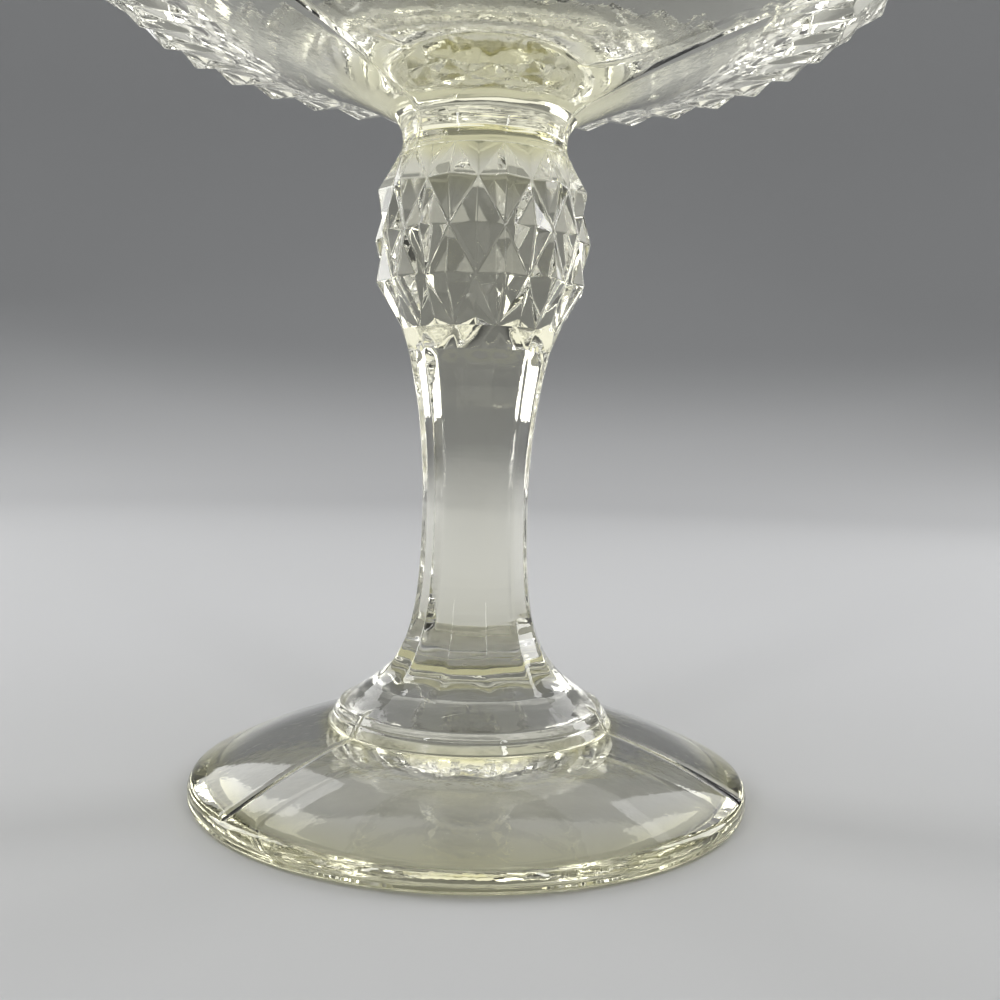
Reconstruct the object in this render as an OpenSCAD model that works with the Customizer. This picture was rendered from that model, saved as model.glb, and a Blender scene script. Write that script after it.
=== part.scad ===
// Footed compote bowl in clear pressed glass, in millimetres.
// Origin: centre of the foot's underside, on the surface it stands on. +Z is up along the axis.
// The front is -Y. The glass is drawn as its six named zones, stacked face to face on one axis:
// foot, ledge, column, knop, collar and bowl.

/* [Foot] */
// Diameter of the foot
foot_d = 115; // [90:1:140]
// Height of the plane where the ledge sits on the foot
foot_h = 14.2; // [11:0.2:20]
// Radius of the rounded upper edge of the foot's rim
foot_edge_r = 2.2; // [1:0.1:3]
// Height of the straight side of the foot's rim, above its lower edge
foot_side_h = 1.2; // [0.5:0.1:2.5]
// Radius of the rounded lower edge of the foot's rim
foot_lower_r = 1.2; // [0.5:0.1:2]
// How far the top of the foot swells above a straight cone
foot_swell = 0.9; // [0:0.1:2]
// Width of the flat ring that the foot stands on
rest_w = 4.5; // [2:0.5:8]
// Depth of the hollow under the foot
hollow_h = 8.5; // [3:0.5:9]

/* [Ledge] */
// Diameter of the ledge's band where it meets the foot
ledge_d = 58.4; // [50:0.2:66]
// Height of the band's side
band_h = 4; // [2:0.2:7]
// How much the band narrows towards its top, on the radius
band_taper = 2; // [0:0.1:3]
// Height of the hollow slope from the band up to the panels
slope_h = 4.6; // [3:0.2:8]

/* [Column] */
// Number of flat panels round the column
panels = 12; // [6:1:12]
// Height of the panelled column
column_h = 72.2; // [50:0.2:100]
// Diameter over the ridges at the column's waist
waist_d = 22.4; // [16:0.2:28]
// Height of the waist above the foot of the column
waist_h = 35; // [20:0.5:45]
// Diameter over the ridges at the column's top
column_top_d = 32.4; // [29:0.2:36]
// How quickly the lower flare opens: the height in which it grows 2.7 times
flare_h = 8; // [5:0.5:11]
// How late the upper flare opens: 1 is a straight cone
upper_flare = 2.25; // [1:0.05:3]
// Angle by which the panels' ridges are turned round the axis
panel_turn = 13; // [0:1:30]

/* [Knop] */
// Number of diamond points in each row round the knop
knop_points = 12; // [8:1:18]
// Height from one row's points to the next row's
knop_row_h = 9.2; // [7:0.1:12]
// Diameter over the points of the middle row
knop_d = 44.8; // [42:0.2:52]
// How far the outer rows' points stand in from the middle row's, on the radius
knop_round = 0.5; // [0:0.1:1.5]
// How far the points stand out of the grooves between them
knop_relief = 2; // [0.8:0.1:2.6]
// Height of the plain shoulder above the top row's points
shoulder_h = 6.8; // [5:0.2:9]
// Angle by which the knop's pattern is turned round the axis
knop_turn = 13; // [0:1:30]

/* [Collar] */
// Diameter of the collar at its narrowest
collar_d = 33.7; // [28:0.1:38]
// Radius of the cove round the collar
cove_r = 7.2; // [5:0.1:9]
// Angle of the cove's lower end below its narrowest line
cove_below = 33; // [20:1:45]
// Slope of the bowl's underside where the cove meets it, from the level
cove_slope = 25; // [20:1:35]

/* [Bowl] */
// Diameter over the diamond points at the belly
belly_d = 143.8; // [136:0.2:152]
// Height of the belly's points above the bowl's lowest face
belly_h = 15.8; // [14:0.2:20]
// Diameter over the points of the row above the belly
row_2_d = 165; // [158:0.5:172]
// Height from the belly's points up to the row above
row_2_h = 8.2; // [6:0.2:12]
// Diameter over the points of the row under the rim
rim_d = 175; // [170:0.5:190]
// Height from that row up to the row under the rim
row_3_h = 13.2; // [9:0.2:18]
// Number of diamond points in each row round the bowl
bowl_points = 36; // [24:1:44]
// How far the points stand out of the grooves between them
bowl_relief = 1.8; // [0.8:0.1:2.2]
// Height of the teeth along the rim
tooth_h = 5.2; // [2:0.2:7]
// How far the rim's teeth lean out from the top row's points
tooth_lean = 1.1; // [0:0.1:2]
// Length of the long lower points that run in under the belly
under_run = 13; // [8:0.5:20]
// How far the hollow of the underside rises above a straight cone
under_rise = 1.8; // [0:0.1:3]
// Thickness of the wall behind its grooves
wall_t = 3.4; // [2.4:0.1:4.5]
// Thickness of the glass between the collar's top face and the bowl's floor
floor_t = 6.6; // [4:0.2:9]
// Radius of the dish of the floor
floor_r = 150; // [130:1:180]
// Radius of the corner between the floor and the wall
corner_r = 20; // [10:0.5:28]
// Angle by which the bowl's pattern is turned round the axis
bowl_turn = 9; // [0:1:10]

/* [Finish] */
// Number of segments round the smooth parts
round_segments = 144; // [48:12:240]
// Number of segments along each curved stretch of an outline
curve_segments = 12; // [6:1:24]

/* [Hidden] */
glass = [0.93, 0.95, 0.88, 0.55];

// Heights of the faces where one zone sits on the next
column_z = foot_h + band_h + slope_h;
knop_z = column_z + column_h;
collar_z = knop_z + 3 * knop_row_h + shoulder_h;
cove_z = collar_z + cove_r * sin(cove_below);
bowl_z = cove_z + cove_r * cos(cove_slope);

// Radii of the faces where one zone sits on the next
waist_r = waist_d / 2;
band_top_r = ledge_d / 2 - band_taper;
cove_axis_r = collar_d / 2 + cove_r;
shoulder_r = cove_axis_r - cove_r * cos(cove_below);
bowl_foot_r = cove_axis_r - cove_r * sin(cove_slope);

// The bowl's outer wall, as [radius, height]: the points of its rows and the grooves behind them
belly_point = [belly_d / 2, bowl_z + belly_h];
row_2_point = [row_2_d / 2, belly_point[1] + row_2_h];
row_3_point = [rim_d / 2, row_2_point[1] + row_3_h];
belly_groove = belly_point - bowl_relief * outward([bowl_foot_r, bowl_z], row_2_point);
row_2_groove = row_2_point - bowl_relief * outward(belly_point, row_3_point);
row_3_groove = row_3_point - bowl_relief * outward(row_2_point, row_3_point);

// The rim: the way the wall runs up to it, its teeth and the valleys between them
wall_dir = (row_3_groove - row_2_groove) / norm(row_3_groove - row_2_groove);
valley_lift = 0.6;
rim_valley = row_3_groove + valley_lift * wall_dir;
tooth_tip = row_3_point + [tooth_lean, valley_lift + tooth_h];

// Points along a circle's arc in the plane of an outline
function arc(centre, r, from, to) =
    [for (i = [0:curve_segments])
        let (a = from + (to - from) * i / curve_segments)
        centre + r * [cos(a), sin(a)]];

// Direction that stands square out of a wall between two points of its outline
function outward(below, above) = [above[1] - below[1], below[0] - above[0]] / norm(above - below);

// Height between two points of an outline, raised by a swell that is widest half way
function swelled(from, to, swell, t) = from + (to - from) * t + 4 * swell * t * (1 - t);

// Radius of the flare at the column's foot, at a height above the band's top edge
function lower_flare(h) = waist_r + (band_top_r - waist_r) * exp(-h / flare_h);

// Radius over the column's ridges at a height above the column's foot
function ridge_r(h) = h < waist_h
    ? lower_flare(slope_h + h)
    : lower_flare(slope_h + waist_h)
        + (column_top_d / 2 - lower_flare(slope_h + waist_h))
        * pow((h - waist_h) / (column_h - waist_h), upper_flare);

// Height of the bowl's underside at a radius outside the collar
function underside_z(r) =
    swelled(bowl_z, belly_groove[1], under_rise, (r - bowl_foot_r) / (belly_groove[0] - bowl_foot_r));

// A solid with rows of four-sided points round it. Each level is [groove radius, groove height,
// point radius, point height], and points and grooves change places from one level to the next.
module pointed_solid(levels, count, turn, top_centre_z) {
    around = 2 * count;
    last = len(levels) - 1;
    ring = [for (i = [0:last], j = [0:around - 1])
        let (level = levels[i], k = (i + j) % 2 == 0 ? 0 : 2, a = 180 * j / count)
        [level[k] * cos(a), level[k] * sin(a), level[k + 1]]];
    bottom = len(ring);
    top = bottom + 1;
    sides = [for (i = [0:last - 1], j = [0:around - 1])
        let (n = (j + 1) % around,
            a = i * around + j, b = i * around + n,
            c = (i + 1) * around + n, d = (i + 1) * around + j)
        each (i + j) % 2 == 0 ? [[a, d, c], [a, c, b]] : [[a, d, b], [d, c, b]]];
    floor_faces = [for (j = [0:around - 1]) [bottom, j, (j + 1) % around]];
    top_faces = [for (j = [0:around - 1])
        [top, last * around + (j + 1) % around, last * around + j]];
    rotate([0, 0, turn])
    polyhedron(
        points = concat(ring, [[0, 0, levels[0][1]], [0, 0, top_centre_z]]),
        faces = concat(sides, floor_faces, top_faces));
}

// Low domed foot, hollow underneath, standing on a flat ring
module foot() {
    r = foot_d / 2;
    side_z = foot_lower_r + foot_side_h;
    rest_r = r - foot_lower_r;
    hollow_r = rest_r - rest_w;
    edge_end = 62;
    edge = arc([r - foot_edge_r, side_z], foot_edge_r, 0, edge_end);
    dome_start = edge[curve_segments];
    dome = [for (i = [1:curve_segments]) let (t = i / curve_segments)
        [dome_start[0] + (ledge_d / 2 - dome_start[0]) * t,
            swelled(dome_start[1], foot_h, foot_swell, t)]];
    hollow = [for (i = [0:curve_segments]) let (t = i / curve_segments)
        [hollow_r * t, hollow_h * (1 - pow(t, 3))]];
    color(glass)
    rotate_extrude($fn = round_segments)
    polygon(concat(
        hollow,
        arc([r - foot_lower_r, foot_lower_r], foot_lower_r, -90, 0),
        edge, dome,
        [[0, foot_h]]));
}

// Stepped ledge: a band with a hollow slope above it that leads up to the panels
module ledge() {
    slope = [for (i = [0:curve_segments]) let (h = slope_h * i / curve_segments)
        [lower_flare(h), foot_h + band_h + h]];
    color(glass)
    rotate_extrude($fn = round_segments)
    polygon(concat([[0, foot_h], [ledge_d / 2, foot_h]], slope, [[0, column_z]]));
}

// Waisted column with flat panels
module column() {
    ridge_segments = 2 * curve_segments;
    ridge = [for (i = [0:ridge_segments]) let (h = column_h * i / ridge_segments)
        [ridge_r(h), column_z + h]];
    color(glass)
    rotate([0, 0, panel_turn])
    rotate_extrude($fn = panels)
    polygon(concat([[0, column_z]], ridge, [[0, knop_z]]));
}

// Knop with three rows of diamond points
module knop() {
    point_r = knop_d / 2;
    groove_r = point_r - knop_relief;
    foot_r = column_top_d / 2;
    rows = [for (i = [1:3]) let (z = knop_z + i * knop_row_h, inset = abs(i - 2) * knop_round)
        [groove_r - inset, z, point_r - inset, z]];
    color(glass)
    pointed_solid(
        concat(
            [[foot_r, knop_z, foot_r * cos(180 / knop_points), knop_z]],
            rows,
            [[shoulder_r, collar_z, shoulder_r, collar_z]]),
        knop_points, knop_turn, collar_z);
}

// Collar: a cove that joins the knop to the bowl
module collar() {
    color(glass)
    rotate_extrude($fn = round_segments)
    polygon(concat(
        [[0, collar_z]],
        arc([cove_axis_r, cove_z], cove_r, 180 + cove_below, 90 + cove_slope),
        [[0, bowl_z]]));
}

// Outline of the bowl's inside: dished floor, rounded corner and leaning wall
function inside_outline() =
    let (
        floor_c = bowl_z + floor_t + floor_r,
        wall_in = [-wall_dir[1], wall_dir[0]],
        wall_lean = atan2(wall_dir[0], wall_dir[1]),
        wall_foot = row_2_groove + wall_t * wall_in,
        start = wall_foot + corner_r * wall_in - [0, floor_c],
        along = start * wall_dir,
        gap = start * start - pow(floor_r - corner_r, 2),
        corner = start + (-along - sqrt(along * along - gap)) * wall_dir + [0, floor_c],
        floor_end = atan2(corner[1] - floor_c, corner[0]),
        above = tooth_tip[1] + 1)
    concat(
        arc([0, floor_c], floor_r, -90, floor_end),
        arc(corner, corner_r, floor_end, -wall_lean),
        [wall_foot + wall_dir * (above - wall_foot[1]) / wall_dir[1], [0, above]]);

// Bowl with a smooth underside, a pointed belly and wall, and a toothed rim
module bowl() {
    // An even number, so that the long points start at the belly's points and not at its grooves
    under_segments = 2 * ceil(curve_segments / 2);
    under_end_r = belly_groove[0] - under_run;
    underside = [for (i = [0:under_segments])
        let (r = bowl_foot_r + (under_end_r - bowl_foot_r) * i / under_segments, z = underside_z(r))
        [r, z, r, z]];
    wall = [
        concat(belly_groove, belly_point),
        concat(row_2_groove, row_2_point),
        concat(row_3_groove, row_3_point),
        concat(tooth_tip, rim_valley)];
    // The inside's segments are turned so that none of their edges lies along a tooth or a valley
    inside_turn = bowl_turn + 45 / bowl_points;
    color(glass)
    difference() {
        pointed_solid(concat(underside, wall), bowl_points, bowl_turn, tooth_tip[1] - tooth_h / 2);
        rotate([0, 0, inside_turn])
        rotate_extrude($fn = round_segments)
        polygon(inside_outline());
    }
}

foot();
ledge();
column();
knop();
collar();
bowl();
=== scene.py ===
import math

import bmesh
import bpy
from mathutils import Matrix, Vector
from mathutils.noise import noise


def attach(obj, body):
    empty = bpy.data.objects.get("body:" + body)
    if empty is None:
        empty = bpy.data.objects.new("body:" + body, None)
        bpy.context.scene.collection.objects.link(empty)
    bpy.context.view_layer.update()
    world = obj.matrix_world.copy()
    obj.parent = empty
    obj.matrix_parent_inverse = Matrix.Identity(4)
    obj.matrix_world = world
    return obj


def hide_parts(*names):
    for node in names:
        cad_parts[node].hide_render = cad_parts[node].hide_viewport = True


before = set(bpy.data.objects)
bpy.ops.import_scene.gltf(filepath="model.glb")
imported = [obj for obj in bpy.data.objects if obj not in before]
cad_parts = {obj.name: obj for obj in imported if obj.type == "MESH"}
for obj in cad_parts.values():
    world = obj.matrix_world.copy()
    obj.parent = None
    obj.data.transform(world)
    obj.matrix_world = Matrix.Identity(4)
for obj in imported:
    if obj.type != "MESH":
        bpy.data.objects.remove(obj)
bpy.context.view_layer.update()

# Lengths of the object are in millimetres here and become metres when a piece is made.
MM = 0.001

# ---------------------------------------------------------------- sizes, as in the part's source
FOOT_R = 57.5
FOOT_H = 14.2
FOOT_EDGE_R = 2.2
FOOT_SIDE_Z = 2.4
FOOT_LOWER_R = 1.2
FOOT_SWELL = 0.9
HOLLOW_R = 51.8
HOLLOW_H = 8.5

LEDGE_R = 29.2
BAND_TOP_R = 27.2
BAND_H = 4.0
SLOPE_H = 4.6
COLUMN_Z = FOOT_H + BAND_H + SLOPE_H

PANELS = 12
COLUMN_H = 72.2
WAIST_R = 11.2
WAIST_H = 35.0
COLUMN_TOP_R = 16.2
FLARE_H = 8.0
UPPER_FLARE = 2.25
PANEL_TURN = 13.0
KNOP_TURN = 13.0
KNOP_Z = COLUMN_Z + COLUMN_H

KNOP_POINTS = 12
KNOP_ROW_H = 9.2
KNOP_R = 22.4
KNOP_ROUND = 0.5
KNOP_RELIEF = 2.0
SHOULDER_H = 6.8
COLLAR_Z = KNOP_Z + 3 * KNOP_ROW_H + SHOULDER_H

COLLAR_R = 16.85
COVE_R = 7.2
COVE_BELOW = 33.0
COVE_SLOPE = 25.0
COVE_AXIS_R = COLLAR_R + COVE_R
COVE_Z = COLLAR_Z + COVE_R * math.sin(math.radians(COVE_BELOW))
SHOULDER_R = COVE_AXIS_R - COVE_R * math.cos(math.radians(COVE_BELOW))
BOWL_Z = COVE_Z + COVE_R * math.cos(math.radians(COVE_SLOPE))
BOWL_FOOT_R = COVE_AXIS_R - COVE_R * math.sin(math.radians(COVE_SLOPE))

BOWL_POINTS = 36
BOWL_RELIEF = 1.8
# Points of the bowl's rows, as (radius, height)
BELLY = Vector((71.9, BOWL_Z + 15.8))
ROW_2 = Vector((82.5, BELLY[1] + 8.2))
ROW_3 = Vector((87.5, ROW_2[1] + 13.2))
VALLEY_LIFT = 0.6
TOOTH_H = 5.2
TOOTH_LEAN = 1.1
UNDER_RUN = 13.0
UNDER_RISE = 1.8
WALL_T = 3.4
FLOOR_T = 6.6
FLOOR_R = 150.0
CORNER_R = 20.0
BOWL_TURN = 9.0

# Azimuths of the three mould seams, counter-clockwise from +X; the front is at -90
SEAMS = (-139.0, -19.0, 101.0)
SEAM_HALF = 0.22
SEAM_LIFT = 0.16
BOWL_SEAM_LIFT = 0.06

# ---------------------------------------------------------------- sizes that only the visible model has
# Where the foot's dome runs into the fillet round the ledge, as (radius, height)
FOOT_JOIN = (LEDGE_R + 0.9, FOOT_H - 0.05)
# The band's hollow line: its depth, and its place and width as shares of the band's height
LINE_DEPTH = 0.14
LINE_PLACE = 0.55
LINE_WIDTH = 0.14
# The column's ridges: how crisp they are, and the heights over which they fade at the foot and the top
RIDGE_CRISPNESS = 85.0
FADE_LOW = 3.2
FADE_HIGH = 4.5
# Widths of the rounded edges, and the share of it that the bowl's points have
KNOP_ROUNDING = 0.32
BOWL_ROUNDING = 0.6
BOWL_POINT_SHARE = 0.55
# Columns round the turned pieces, apart from those at the seams
WIDE_COLUMNS = 160
NARROW_COLUMNS = 144


# ---------------------------------------------------------------- outlines
def arc(centre_r, centre_z, radius, start, end, count):
    """Points of a circle's arc in an outline, from one angle to another, in degrees."""
    out = []
    for i in range(count + 1):
        a = math.radians(start + (end - start) * i / count)
        out.append((centre_r + radius * math.cos(a), centre_z + radius * math.sin(a)))
    return out


def swelled(low, high, swell, t):
    """A value on the way from low to high that swells out by the given amount half way."""
    return low + (high - low) * t + 4 * swell * t * (1 - t)


def smoothstep(low, high, value):
    t = min(max((value - low) / (high - low), 0.0), 1.0)
    return t * t * (3 - 2 * t)


def lower_flare(h):
    """Radius of the slope and the column's lower part at a height above the band."""
    return WAIST_R + (BAND_TOP_R - WAIST_R) * math.exp(-h / FLARE_H)


def ridge_r(h):
    """Radius over the column's ridges at a height above the column's foot."""
    if h < WAIST_H:
        return lower_flare(SLOPE_H + h)
    waist = lower_flare(SLOPE_H + WAIST_H)
    t = (h - WAIST_H) / (COLUMN_H - WAIST_H)
    return waist + (COLUMN_TOP_R - waist) * t ** UPPER_FLARE


# ---------------------------------------------------------------- mesh helpers
def columns_with_seams(count):
    """Columns round a turned surface, as (azimuth, offset in mm, lift): five close ones at each mould seam."""
    out = []
    clear = 360.0 / count * 0.75
    for i in range(count):
        a = (360.0 * i / count + 180) % 360 - 180
        if all(abs((a - s + 180) % 360 - 180) > clear for s in SEAMS):
            out.append((a, 0.0, 0.0))
    for s in SEAMS:
        for offset, lift in ((-1, 0), (-0.5, 0.6), (0, 1), (0.5, 0.6), (1, 0)):
            out.append((s, offset * SEAM_HALF, lift))
    return sorted(out, key=lambda c: c[0] + c[1] * 0.01)


def ripple(r, z, a, size, seed):
    """A slow unevenness of hand-finished glass, from -1 to 1."""
    return noise(Vector((r * math.cos(a) / size + seed, r * math.sin(a) / size, z / size)))


def turning_lines(z, a):
    """Fine level lines of uneven depth, from -1 to 1."""
    drift = noise(Vector((2.0 * math.cos(a), 2.0 * math.sin(a), z * 0.4)))
    return noise(Vector((0.8 * math.cos(a), 0.8 * math.sin(a), z * 1.7 + drift))) * 1.6


def finished(node, mesh):
    """Makes the glass piece that stands for a node, in metres, of a mesh in millimetres."""
    mesh.transform(Matrix.Scale(MM, 4))
    obj = bpy.data.objects.new("glass_" + node, mesh)
    mesh.name = obj.name
    bpy.context.scene.collection.objects.link(obj)
    mesh.materials.append(GLASS)
    mesh.materials.append(JOIN)
    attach(obj, "root")
    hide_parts(node)


def turned(bm, outline, columns, seam_from=0, seam_to=0, wave=0.0, wave_size=9.0, seed=0.0, lines=0.0,
           seam_lift=SEAM_LIFT):
    """Turns an outline round the axis. Each outline point is (r, z); a point on the axis becomes one vertex.
    The mould seams stand out between the outline points seam_from and seam_to. The wave is a slow unevenness,
    and the lines are the fine level ones that a turned mould leaves."""
    rings = []
    last = len(outline) - 1
    for i, (r, z) in enumerate(outline):
        if r < 1e-6:
            rings.append([bm.verts.new((0, 0, z))])
            continue
        before, after = outline[max(i - 1, 0)], outline[min(i + 1, last)]
        tangent = Vector((after[0] - before[0], after[1] - before[1])).normalized()
        out_r, out_z = tangent[1], -tangent[0]
        ring = []
        for azimuth, offset, lift in columns:
            a = math.radians(azimuth) + offset / max(r, 6.0)
            seam = seam_lift * lift if seam_from < i < seam_to else 0.0
            still = i in (0, last) or z < 0.5
            push = seam + (0.0 if still else wave * ripple(r, z, a, wave_size, seed) + lines * turning_lines(z, a))
            rr, zz = r + out_r * push, z + out_z * push
            ring.append(bm.verts.new((rr * math.cos(a), rr * math.sin(a), zz)))
        rings.append(ring)
    for low, high in zip(rings, rings[1:]):
        count = max(len(low), len(high))
        for j in range(count):
            k = (j + 1) % count
            if len(low) == 1:
                corners = [low[0], high[k], high[j]]
            elif len(high) == 1:
                corners = [low[j], low[k], high[0]]
            else:
                corners = [low[j], low[k], high[k], high[j]]
            bm.faces.new(corners).smooth = True
    return rings


def strip(bm, low, high):
    """The band of faces between two rings of as many vertices."""
    for j in range(len(low)):
        k = (j + 1) % len(low)
        bm.faces.new((low[j], low[k], high[k], high[j])).smooth = True


def cap(bm, ring, up):
    """Closes a ring with the face where the glass runs on into the next zone."""
    face = bm.faces.new(ring if up else list(reversed(ring)))
    face.material_index = 1
    face.smooth = False
    for edge in face.edges:
        edge.smooth = False


def mesh_of(bm, name):
    """Turns a bmesh into a mesh with its faces outward, and frees it."""
    bmesh.ops.recalc_face_normals(bm, faces=bm.faces)
    mesh = bpy.data.meshes.new(name)
    bm.to_mesh(mesh)
    bm.free()
    return mesh


def bevelled(bm, name, width):
    """Rounds the edges that carry a bevel weight and keeps the facets flat."""
    mesh = mesh_of(bm, name)
    obj = bpy.data.objects.new(name, mesh)
    bpy.context.scene.collection.objects.link(obj)
    bevel = obj.modifiers.new("round", "BEVEL")
    bevel.width = width
    bevel.segments = 2
    bevel.limit_method = "WEIGHT"
    bevel.offset_type = "OFFSET"
    bevel.use_clamp_overlap = False
    bevel.material = -1
    weighted = obj.modifiers.new("facets", "WEIGHTED_NORMAL")
    weighted.keep_sharp = True
    weighted.weight = 90
    done = bpy.data.meshes.new_from_object(obj.evaluated_get(bpy.context.evaluated_depsgraph_get()))
    bpy.data.objects.remove(obj)
    bpy.data.meshes.remove(mesh)
    return done


def pointed(bm, levels, count, turn, weight):
    """Rows of four-sided points. Each level is (groove r, groove z, point r, point z); the weight is that of the
    edges in the rounding. Returns the rings and the layer that holds the weights."""
    around = 2 * count
    rings = []
    for i, level in enumerate(levels):
        ring = []
        for j in range(around):
            k = 0 if (i + j) % 2 == 0 else 2
            a = math.radians(turn + 180.0 * j / count)
            ring.append(bm.verts.new((level[k] * math.cos(a), level[k] * math.sin(a), level[k + 1])))
        rings.append(ring)
    layer = bm.edges.layers.float.get("bevel_weight_edge") or bm.edges.layers.float.new("bevel_weight_edge")
    for i in range(len(levels) - 1):
        for j in range(around):
            n = (j + 1) % around
            a, b, c, d = rings[i][j], rings[i][n], rings[i + 1][n], rings[i + 1][j]
            for corners in [(a, d, c), (a, c, b)] if (i + j) % 2 == 0 else [(a, d, b), (d, c, b)]:
                face = bm.faces.new(reversed(corners))
                face.smooth = True
                for edge in face.edges:
                    edge[layer] = weight
    return rings, layer


# ---------------------------------------------------------------- materials
def new_material(name):
    material = bpy.data.materials.new(name)
    material.use_nodes = True
    tree = material.node_tree
    tree.nodes.clear()
    return material, tree, tree.nodes.new("ShaderNodeOutputMaterial")


def math_node(tree, operation, *values):
    """A math node on sockets or numbers; returns its output."""
    node = tree.nodes.new("ShaderNodeMath")
    node.operation = operation
    for socket, value in zip(node.inputs, values):
        if isinstance(value, bpy.types.NodeSocket):
            tree.links.new(value, socket)
        else:
            socket.default_value = value
    return node.outputs[0]


def ramp(tree, value, low, high):
    """From 0 at low to 1 at high, with soft ends."""
    node = tree.nodes.new("ShaderNodeMapRange")
    node.interpolation_type = "SMOOTHSTEP"
    node.inputs["From Min"].default_value = low
    node.inputs["From Max"].default_value = high
    tree.links.new(value, node.inputs["Value"])
    return node.outputs["Result"]


def between(tree, value, start, full, fade, end):
    """1 from full to fade, and 0 below start and above end, with soft slopes."""
    return math_node(tree, "MULTIPLY", ramp(tree, value, start, full), ramp(tree, value, end, fade))


def noise_node(tree, vector, scale, detail):
    node = tree.nodes.new("ShaderNodeTexNoise")
    node.inputs["Scale"].default_value = scale
    node.inputs["Detail"].default_value = detail
    tree.links.new(vector, node.inputs["Vector"])
    return node


def mixed(tree, factor, one, other):
    """A colour between two, each a socket or an opaque colour."""
    node = tree.nodes.new("ShaderNodeMix")
    node.data_type = "RGBA"
    tree.links.new(factor, node.inputs["Factor"])
    for name, value in (("A", one), ("B", other)):
        if isinstance(value, bpy.types.NodeSocket):
            tree.links.new(value, node.inputs[name])
        else:
            node.inputs[name].default_value = (*value, 1.0)
    return node.outputs["Result"]


# Places in the glass, in metres: each is (start, full, fade, end) or (start, full)
COLLAR_ZONE = (0.1245, 0.1295, 0.1425, 0.1475)
RIM_ZONE_R = (0.0470, 0.0545)
RIM_ZONE_Z = (0.0135, 0.0095)
FILLET_ZONE = (0.0130, 0.0139, 0.0152, 0.0170)
FILLET_ZONE_R = (0.0325, 0.0305)
SLOPE_ZONE = (0.0180, 0.0186, 0.0196, 0.0212)
BOWL_ZONE = (0.1380, 0.1440)
# How much of the skin's tint the foot and stem have, and how much more the bowl has
STEM_TINT = 0.08
BOWL_TINT = 0.28
# The straw tint, as (channel, strength per metre of glass, share that the skin takes where it is fully tinted)
STRAW = (("Red", -0.8, 0.0), ("Green", -1.6, 0.02), ("Blue", -10.0, 0.28))
FROST_ROUGHNESS = 0.22


def glass_material():
    material, tree, out = new_material("clear_pressed_glass")
    nodes, links = tree.nodes, tree.links
    shader = nodes.new("ShaderNodeBsdfPrincipled")
    shader.inputs["Transmission Weight"].default_value = 1.0
    shader.inputs["IOR"].default_value = 1.5
    shader.inputs["Roughness"].default_value = 0.0
    links.new(shader.outputs["BSDF"], out.inputs["Surface"])

    place = nodes.new("ShaderNodeTexCoord")
    # Fire-polished surface: slow waves with a finer ripple over them
    waves = noise_node(tree, place.outputs["Object"], 260.0, 3.0)
    waves.inputs["Roughness"].default_value = 0.55
    bump = nodes.new("ShaderNodeBump")
    bump.inputs["Strength"].default_value = 0.05
    bump.inputs["Distance"].default_value = 0.0006
    links.new(waves.outputs["Fac"], bump.inputs["Height"])
    links.new(bump.outputs["Normal"], shader.inputs["Normal"])

    # Heights and distances from the axis, in metres
    axes = nodes.new("ShaderNodeSeparateXYZ")
    links.new(place.outputs["Object"], axes.inputs["Vector"])
    z = axes.outputs["Z"]
    across = math_node(tree, "MULTIPLY", axes.outputs["X"], axes.outputs["X"])
    along = math_node(tree, "MULTIPLY", axes.outputs["Y"], axes.outputs["Y"])
    r = math_node(tree, "SQRT", math_node(tree, "ADD", across, along))

    # Where the glass is thickest to look through: the collar, the foot's rim and the fillet round the ledge
    collar = between(tree, z, *COLLAR_ZONE)
    rim = math_node(tree, "MULTIPLY", ramp(tree, r, *RIM_ZONE_R), ramp(tree, z, *RIM_ZONE_Z))
    fillet = math_node(tree, "MULTIPLY", between(tree, z, *FILLET_ZONE), ramp(tree, r, *FILLET_ZONE_R))
    # Everywhere else the skin has a trace of the same tint, and the bowl a little more of it
    tinted = math_node(tree, "MULTIPLY_ADD", ramp(tree, z, *BOWL_ZONE), BOWL_TINT, STEM_TINT)
    for zone in (collar, rim, fillet):
        tinted = math_node(tree, "MAXIMUM", tinted, zone)

    # The skin is a little frosted in the fillet and low on the ledge's slope, in patches
    patches = noise_node(tree, place.outputs["Object"], 420.0, 4.0)
    frosted = math_node(tree, "MAXIMUM", fillet, between(tree, z, *SLOPE_ZONE))
    frost = math_node(tree, "MULTIPLY", ramp(tree, patches.outputs["Fac"], 0.40, 0.62), frosted)
    links.new(math_node(tree, "MULTIPLY", frost, FROST_ROUGHNESS), shader.inputs["Roughness"])

    # The straw tint deepens with the way through the glass
    path = nodes.new("ShaderNodeLightPath")
    facing = nodes.new("ShaderNodeNewGeometry")
    inside = math_node(tree, "MULTIPLY", path.outputs["Ray Length"], facing.outputs["Backfacing"])
    tint = nodes.new("ShaderNodeCombineColor")
    for channel, strength, skin in STRAW:
        through = math_node(tree, "EXPONENT", math_node(tree, "MULTIPLY", inside, strength))
        skin_part = math_node(tree, "SUBTRACT", 1.0, math_node(tree, "MULTIPLY", tinted, skin))
        links.new(math_node(tree, "MULTIPLY", through, skin_part), tint.inputs[channel])
    links.new(tint.outputs["Color"], shader.inputs["Base Color"])
    return material


def join_material():
    """The face between two zones, where the real glass runs on without a break."""
    material, tree, out = new_material("glass_runs_on")
    clear = tree.nodes.new("ShaderNodeBsdfTransparent")
    tree.links.new(clear.outputs["BSDF"], out.inputs["Surface"])
    return material


FLOOR_COLOUR = (0.62, 0.625, 0.63)
WALL_COLOUR = (0.33, 0.335, 0.34)
SIDE_COLOUR = (0.05, 0.05, 0.05)
SIDE_SHARE = 0.8


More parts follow.
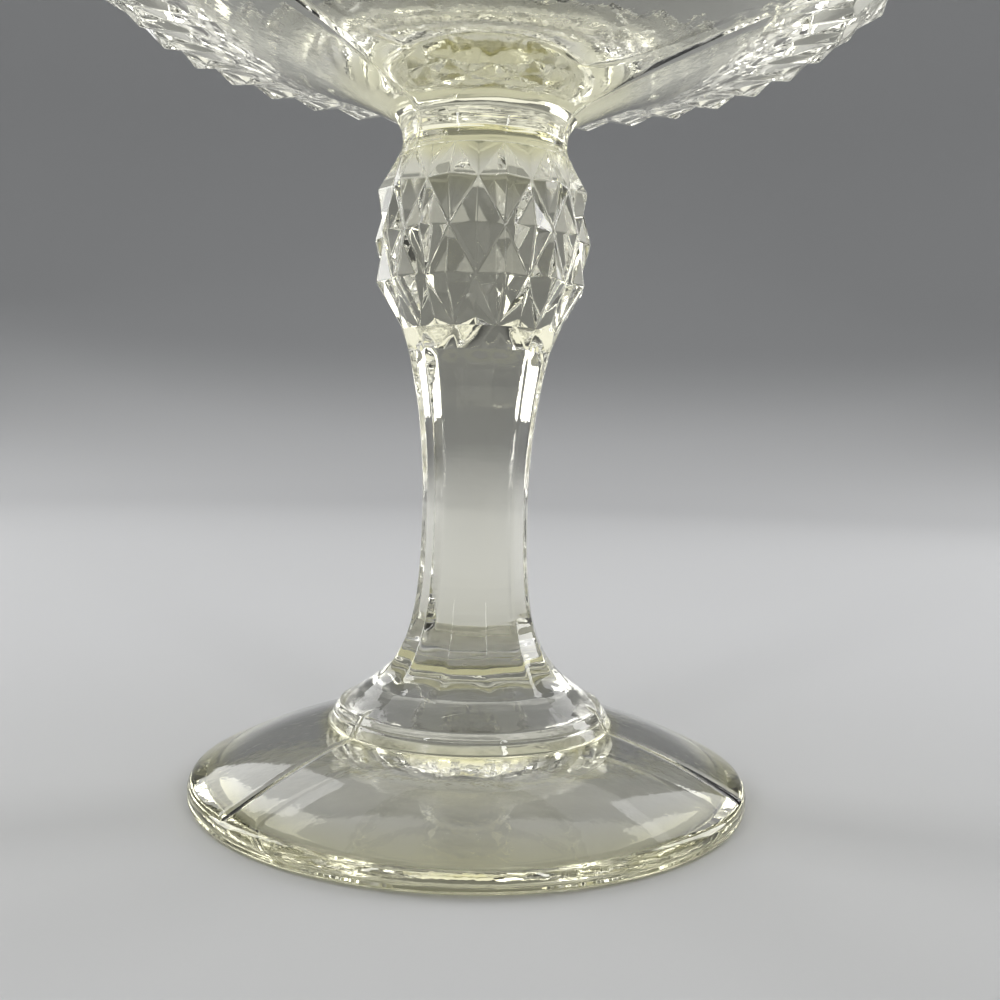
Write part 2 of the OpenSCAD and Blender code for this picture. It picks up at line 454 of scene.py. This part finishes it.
def sweep_material():
    """A pale floor that deepens to a mid grey up the backdrop, so that clear glass stands out from it. At the
    sides and in front the upper part is darker, which gives the facets something dark to mirror."""
    material, tree, out = new_material("pale_sweep")
    nodes, links = tree.nodes, tree.links
    shader = nodes.new("ShaderNodeBsdfPrincipled")
    shader.inputs["Roughness"].default_value = 0.9
    shader.inputs["Specular IOR Level"].default_value = 0.2
    place = nodes.new("ShaderNodeTexCoord")
    axes = nodes.new("ShaderNodeSeparateXYZ")
    links.new(place.outputs["Object"], axes.inputs["Vector"])
    up = ramp(tree, axes.outputs["Z"], 0.0, 0.22)
    beside = math_node(tree, "MULTIPLY", ramp(tree, axes.outputs["Y"], 1.22, 0.95), up)
    side = math_node(tree, "MULTIPLY", beside, SIDE_SHARE)
    colour = mixed(tree, side, mixed(tree, up, FLOOR_COLOUR, WALL_COLOUR), SIDE_COLOUR)
    links.new(colour, shader.inputs["Base Color"])
    links.new(shader.outputs["BSDF"], out.inputs["Surface"])
    return material


GLASS = glass_material()
JOIN = join_material()


# ---------------------------------------------------------------- the six zones
def make_foot():
    """Outline from the hollow's centre out: hollow, flat ring, the rim's two roundings and dome."""
    hollow = []
    for i in range(25):
        r = HOLLOW_R * i / 24
        hollow.append((r, HOLLOW_H * (1 - (r / HOLLOW_R) ** 3)))
    rest = [(HOLLOW_R + 0.35, 0.0), (54.0, 0.0)]
    lower = arc(FOOT_R - FOOT_LOWER_R, FOOT_LOWER_R, FOOT_LOWER_R, -90, 0, 6)
    edge = arc(FOOT_R - FOOT_EDGE_R, FOOT_SIDE_Z, FOOT_EDGE_R, 0, 62, 10)
    start = edge[-1]
    dome = []
    for i in range(1, 29):
        t = i / 28
        dome.append((start[0] + (FOOT_JOIN[0] - start[0]) * t, swelled(start[1], FOOT_JOIN[1], FOOT_SWELL, t)))
    outline = hollow + rest + lower + edge + dome
    seam_from = len(outline) - len(dome) - 4
    bm = bmesh.new()
    columns = columns_with_seams(WIDE_COLUMNS)
    rings = turned(bm, outline, columns, seam_from, len(outline), wave=0.05, wave_size=14.0, seed=3.0)
    cap(bm, rings[-1], True)
    finished("foot", mesh_of(bm, "foot"))


def make_ledge():
    """Outline from the foot up: fillet, band with its hollow line, rounded edge and slope."""
    fillet = arc(FOOT_JOIN[0], FOOT_H + 0.75, 0.8, -90, -168, 6)
    band = []
    for i in range(13):
        t = i / 12
        line = LINE_DEPTH * math.exp(-((t - LINE_PLACE) / LINE_WIDTH) ** 2)
        band.append((LEDGE_R - 0.35 - 0.95 * t ** 1.15 - line, FOOT_H + 1.5 + 1.6 * t))
    edge = [(BAND_TOP_R + 0.22, FOOT_H + 3.72), (BAND_TOP_R + 0.08, FOOT_H + 3.98), (BAND_TOP_R - 0.22, FOOT_H + 4.1)]
    slope = [(lower_flare(h), FOOT_H + BAND_H + h) for h in [SLOPE_H * (0.06 + 0.94 * i / 16) for i in range(17)]]
    outline = [FOOT_JOIN] + fillet[1:] + band + edge + slope
    seam_to = len(outline) - len(slope) + 3
    bm = bmesh.new()
    columns = columns_with_seams(WIDE_COLUMNS)
    rings = turned(bm, outline, columns, 0, seam_to, wave=0.04, wave_size=7.0, seed=9.0, lines=0.03)
    cap(bm, rings[0], False)
    cap(bm, rings[-1], True)
    finished("ledge", mesh_of(bm, "ledge"))


def panelled_r(azimuth, z):
    """Radius of the column: a rounded polygon that runs out into a circle at its two ends."""
    h = z - COLUMN_Z
    outer = ridge_r(h)
    half = math.radians(180.0 / PANELS)
    flat = outer * math.cos(half)
    total = 0.0
    for k in range(PANELS):
        d = math.radians(azimuth - PANEL_TURN - 360.0 * (k + 0.5) / PANELS)
        c = math.cos(d)
        if c > 0.5:
            total += c ** RIDGE_CRISPNESS
    polygon = flat / total ** (1 / RIDGE_CRISPNESS)
    return outer + (polygon - outer) * smoothstep(0.0, FADE_LOW, h) * smoothstep(COLUMN_H, COLUMN_H - FADE_HIGH, h)


def make_column():
    """Columns of vertices stand close together at the ridges, and level rings at the two ends."""
    spread = (-15, -14.55, -13.9, -12.6, -10, -6, -2, 2, 6, 10, 12.6, 13.9, 14.55)
    azimuths = [PANEL_TURN + 30.0 * (k + 0.5) + s for k in range(PANELS) for s in spread]
    low_step, middle_step, top_h, top_steps = 0.35, 1.2, 7.0, 12
    heights = [COLUMN_Z + low_step * i for i in range(64)]
    while heights[-1] < KNOP_Z - top_h:
        heights.append(heights[-1] + middle_step)
    top_start = heights[-1]
    heights += [top_start + (KNOP_Z - top_start) * i / top_steps for i in range(1, top_steps + 1)]
    bm = bmesh.new()
    rings = []
    for i, z in enumerate(heights):
        ring = []
        for azimuth in azimuths:
            a = math.radians(azimuth)
            r = panelled_r(azimuth, z)
            if 0 < i < len(heights) - 1:
                lines = smoothstep(COLUMN_Z, COLUMN_Z + 2, z) * smoothstep(COLUMN_Z + 22, COLUMN_Z + 6, z)
                r += 0.05 * ripple(r, z, a, 8.0, 20.0) + 0.04 * lines * turning_lines(z, a)
            ring.append(bm.verts.new((r * math.cos(a), r * math.sin(a), z)))
        rings.append(ring)
    for low, high in zip(rings, rings[1:]):
        strip(bm, low, high)
    cap(bm, rings[0], False)
    cap(bm, rings[-1], True)
    finished("column", mesh_of(bm, "column"))


def open_ring(bm, z, level=True):
    """The vertices of the open edge near a height, in order round it, set level unless level is False."""
    edges = {e for e in bm.edges if e.is_boundary and abs(e.verts[0].co.z - z) < 2.0}
    start = min(edges, key=lambda e: e.index).verts[0]
    ring, here, came = [start], start, None
    while True:
        edge = next(e for e in here.link_edges if e in edges and e is not came)
        here, came = edge.other_vert(here), edge
        if here is start:
            break
        ring.append(here)
    if level:
        for vert in ring:
            vert.co.z = z
    return ring


def azimuth_of(vert):
    return math.atan2(vert.co.y, vert.co.x)


def joined(bm, one, other):
    """Fills the strip between two rings that have different numbers of vertices."""
    one = sorted(one, key=azimuth_of)
    other = sorted(other, key=azimuth_of)
    i = j = 0
    while i < len(one) or j < len(other):
        a, c = one[i % len(one)], other[j % len(other)]
        next_a = azimuth_of(one[(i + 1) % len(one)]) + (2 * math.pi if i + 1 >= len(one) else 0)
        next_c = azimuth_of(other[(j + 1) % len(other)]) + (2 * math.pi if j + 1 >= len(other) else 0)
        if j >= len(other) or (i < len(one) and next_a <= next_c):
            corners = (a, one[(i + 1) % len(one)], c)
            i += 1
        else:
            corners = (a, other[(j + 1) % len(other)], c)
            j += 1
        bm.faces.new(corners).smooth = True


def make_knop():
    """Three rows of points between two round rings."""
    groove_r = KNOP_R - KNOP_RELIEF
    levels = [(COLUMN_TOP_R, KNOP_Z, COLUMN_TOP_R, KNOP_Z)]
    for i in (1, 2, 3):
        inset = abs(i - 2) * KNOP_ROUND
        z = KNOP_Z + i * KNOP_ROW_H
        levels.append((groove_r - inset, z, KNOP_R - inset, z))
    levels.append((SHOULDER_R, COLLAR_Z, SHOULDER_R, COLLAR_Z))
    bm = bmesh.new()
    rings, layer = pointed(bm, levels, KNOP_POINTS, KNOP_TURN, 1.0)
    for ring in (rings[0], rings[-1]):
        for j, vert in enumerate(ring):
            edge = bm.edges.get((vert, ring[(j + 1) % len(ring)]))
            edge[layer] = 0.0
    mesh = bevelled(bm, "knop", KNOP_ROUNDING)
    bm = bmesh.new()
    bm.from_mesh(mesh)
    bpy.data.meshes.remove(mesh)
    cap(bm, open_ring(bm, KNOP_Z), False)
    cap(bm, open_ring(bm, COLLAR_Z), True)
    finished("knop", mesh_of(bm, "knop"))


def make_collar():
    """A cove, which is one arc of a circle."""
    outline = arc(COVE_AXIS_R, COVE_Z, COVE_R, 180 + COVE_BELOW, 90 + COVE_SLOPE, 64)
    bm = bmesh.new()
    columns = columns_with_seams(NARROW_COLUMNS)
    rings = turned(bm, outline, columns, 1, len(outline), wave=0.07, wave_size=5.0, seed=31.0, lines=0.05)
    cap(bm, rings[0], False)
    cap(bm, rings[-1], True)
    finished("collar", mesh_of(bm, "collar"))


def outward(below, above):
    """Direction that stands square out of a wall between two points of its outline."""
    return Vector((above[1] - below[1], below[0] - above[0])).normalized()


BELLY_GROOVE = BELLY - BOWL_RELIEF * outward((BOWL_FOOT_R, BOWL_Z), ROW_2)
ROW_2_GROOVE = ROW_2 - BOWL_RELIEF * outward(BELLY, ROW_3)
ROW_3_GROOVE = ROW_3 - BOWL_RELIEF * outward(ROW_2, ROW_3)
WALL_DIR = (ROW_3_GROOVE - ROW_2_GROOVE).normalized()
RIM_VALLEY = ROW_3_GROOVE + VALLEY_LIFT * WALL_DIR
TOOTH_TIP = ROW_3 + Vector((TOOTH_LEAN, VALLEY_LIFT + TOOTH_H))
UNDER_END_R = BELLY_GROOVE[0] - UNDER_RUN


def underside(r):
    """The underside's outline point at a radius."""
    t = (r - BOWL_FOOT_R) / (BELLY_GROOVE[0] - BOWL_FOOT_R)
    return (r, swelled(BOWL_Z, BELLY_GROOVE[1], UNDER_RISE, t))


def inside_outline():
    """Outline of the bowl's inside from its centre out: dished floor, rounded corner and leaning wall."""
    floor_c = BOWL_Z + FLOOR_T + FLOOR_R
    wall_in = Vector((-WALL_DIR[1], WALL_DIR[0]))
    wall_lean = math.degrees(math.atan2(WALL_DIR[0], WALL_DIR[1]))
    wall_foot = ROW_2_GROOVE + WALL_T * wall_in
    start = wall_foot + CORNER_R * wall_in - Vector((0, floor_c))
    along = start.dot(WALL_DIR)
    gap = start.dot(start) - (FLOOR_R - CORNER_R) ** 2
    corner = start + (-along - math.sqrt(along * along - gap)) * WALL_DIR + Vector((0, floor_c))
    floor_end = math.degrees(math.atan2(corner[1] - floor_c, corner[0]))
    points = [(0.0, floor_c - FLOOR_R)] + arc(0, floor_c, FLOOR_R, -90, floor_end, 26)[1:]
    points += arc(corner[0], corner[1], CORNER_R, floor_end, -wall_lean, 12)[1:]
    return points, wall_foot


def make_bowl():
    """The points, rim and inside are one net of facets; the underside is turned and joined to it."""
    under_end = underside(UNDER_END_R)
    levels = [
        (*under_end, *under_end),
        (*BELLY_GROOVE, *BELLY),
        (*ROW_2_GROOVE, *ROW_2),
        (*ROW_3_GROOVE, *ROW_3),
        (*TOOTH_TIP, *RIM_VALLEY),
    ]
    bm = bmesh.new()
    rings, layer = pointed(bm, levels, BOWL_POINTS, BOWL_TURN, BOWL_POINT_SHARE)
    for j, vert in enumerate(rings[0]):
        bm.edges.get((vert, rings[0][(j + 1) % len(rings[0])]))[layer] = 0.0

    points, wall_foot = inside_outline()
    around = 2 * BOWL_POINTS

    def wall_at(z):
        return wall_foot[0] + WALL_DIR[0] * (z - wall_foot[1]) / WALL_DIR[1]

    def vert_at(j, r, z):
        a = math.radians(BOWL_TURN + 180.0 * j / BOWL_POINTS)
        return bm.verts.new((r * math.cos(a), r * math.sin(a), z))

    outer = rings[-1]
    inner = [vert_at(j, wall_at(vert.co.z), vert.co.z) for j, vert in enumerate(outer)]
    strip(bm, outer, inner)
    for ring in (outer, inner):
        for j in range(around):
            bm.edges.get((ring[j], ring[(j + 1) % around]))[layer] = 1.0
    above = inner
    rim_gap = 0.6
    wall_top = ROW_3_GROOVE[1] - rim_gap
    inside = []
    for i in range(5):
        z = wall_top + (points[-1][1] - wall_top) * i / 4
        inside.append((wall_at(z), z))
    inside += list(reversed(points[:-1]))
    for r, z in inside:
        if r < 1e-6:
            centre = bm.verts.new((0, 0, z))
            for j in range(around):
                bm.faces.new((above[j], above[(j + 1) % around], centre)).smooth = True
            break
        ring = [vert_at(j, r, z) for j in range(around)]
        strip(bm, above, ring)
        above = ring
    mesh = bevelled(bm, "bowl", BOWL_ROUNDING)
    bm = bmesh.new()
    bm.from_mesh(mesh)
    bpy.data.meshes.remove(mesh)
    points_start = open_ring(bm, under_end[1], level=False)
    join_width = 0.9
    smooth_end = UNDER_END_R - join_width
    outline = [underside(BOWL_FOOT_R + (smooth_end - BOWL_FOOT_R) * i / 24) for i in range(25)]
    under = turned(bm, outline, columns_with_seams(NARROW_COLUMNS), 0, len(outline) - 2,
                   wave=0.05, wave_size=11.0, seed=47.0, seam_lift=BOWL_SEAM_LIFT)
    joined(bm, under[-1], points_start)
    cap(bm, under[0], False)
    finished("bowl", mesh_of(bm, "bowl"))


make_foot()
make_ledge()
make_column()
make_knop()
make_collar()
make_bowl()


# ---------------------------------------------------------------- floor, light and camera
# The sweep, in metres. Its floor lies a hair below the foot's ring, so that light gets in between
FLOOR_Z = -0.0002
SWEEP_R = 1.5
SWEEP_BEND = 0.55
SWEEP_TOP = 1.5


def make_sweep():
    """A plain pale floor that runs up into a backdrop all round."""
    outline = [(0.0, FLOOR_Z), (0.3, FLOOR_Z), (0.6, FLOOR_Z)]
    outline += arc(SWEEP_R - SWEEP_BEND, FLOOR_Z + SWEEP_BEND, SWEEP_BEND, -90, 0, 16)
    outline.append((SWEEP_R, SWEEP_TOP))
    bm = bmesh.new()
    turned(bm, outline, [(i * 3.0, 0.0, 0.0) for i in range(120)])
    mesh = bpy.data.meshes.new("sweep")
    bm.to_mesh(mesh)
    bm.free()
    mesh.flip_normals()
    mesh.materials.append(sweep_material())
    obj = bpy.data.objects.new("sweep", mesh)
    bpy.context.scene.collection.objects.link(obj)


def add_lamp(name, place, target, width, height, power):
    """A soft rectangular lamp, in metres and watts, that faces the target and isn't seen itself."""
    lamp = bpy.data.lights.new(name, "AREA")
    lamp.shape = "RECTANGLE"
    lamp.size = width
    lamp.size_y = height
    lamp.energy = power
    obj = bpy.data.objects.new(name, lamp)
    obj.location = place
    obj.rotation_euler = (Vector(target) - Vector(place)).to_track_quat("-Z", "Y").to_euler()
    obj.visible_camera = False
    bpy.context.scene.collection.objects.link(obj)


make_sweep()
# The middle of the stem, and a place a little lower, at which the lamps point
STEM = (0.0, 0.0, 0.14)
LOWER_STEM = (0.0, 0.0, 0.11)
add_lamp("top_lamp", (0.0, 0.2, 1.4), (0.0, 0.2, 0.0), 2.4, 2.2, 15.0)
add_lamp("left_lamp", (-0.85, 0.25, 0.50), STEM, 0.26, 0.8, 3.4)
add_lamp("right_lamp", (0.85, 0.35, 0.50), STEM, 0.26, 0.8, 3.4)
add_lamp("left_front_lamp", (-0.58, -0.82, 0.40), LOWER_STEM, 0.06, 0.6, 1.3)
add_lamp("right_front_lamp", (0.50, -0.86, 0.40), LOWER_STEM, 0.06, 0.6, 1.3)
add_lamp("left_back_lamp", (-0.70, 0.95, 0.70), STEM, 0.26, 0.8, 1.3)
add_lamp("right_back_lamp", (0.74, 0.90, 0.70), STEM, 0.26, 0.8, 1.3)

world = bpy.data.worlds.new("studio")
bpy.context.scene.world = world
world.use_nodes = True
world.node_tree.nodes["Background"].inputs["Color"].default_value = (0.08, 0.08, 0.082, 1.0)
world.node_tree.nodes["Background"].inputs["Strength"].default_value = 1.0

# The camera, fitted to the photograph: its place in metres, and its pitch down and roll
CAMERA_PLACE = (0.00506, -0.22552, 0.07314)
PITCH = math.radians(3.24)
ROLL = math.radians(1.60)
camera = bpy.data.cameras.new("camera")
camera.sensor_width = 36.0
camera.lens = 38.81
camera.clip_start = 0.01
forward = Vector((0, math.cos(PITCH), -math.sin(PITCH)))
level_up = Vector((0, math.sin(PITCH), math.cos(PITCH)))
right = math.cos(ROLL) * Vector((1, 0, 0)) + math.sin(ROLL) * level_up
up = -math.sin(ROLL) * Vector((1, 0, 0)) + math.cos(ROLL) * level_up
camera_object = bpy.data.objects.new("camera", camera)
bpy.context.scene.collection.objects.link(camera_object)
camera_object.matrix_world = Matrix((
    (right[0], up[0], -forward[0], CAMERA_PLACE[0]),
    (right[1], up[1], -forward[1], CAMERA_PLACE[1]),
    (right[2], up[2], -forward[2], CAMERA_PLACE[2]),
    (0, 0, 0, 1)))
bpy.context.scene.camera = camera_object

scene = bpy.context.scene
scene.view_settings.view_transform = "Standard"
scene.cycles.max_bounces = 32
scene.cycles.transmission_bounces = 32
scene.cycles.glossy_bounces = 12
scene.cycles.transparent_max_bounces = 48
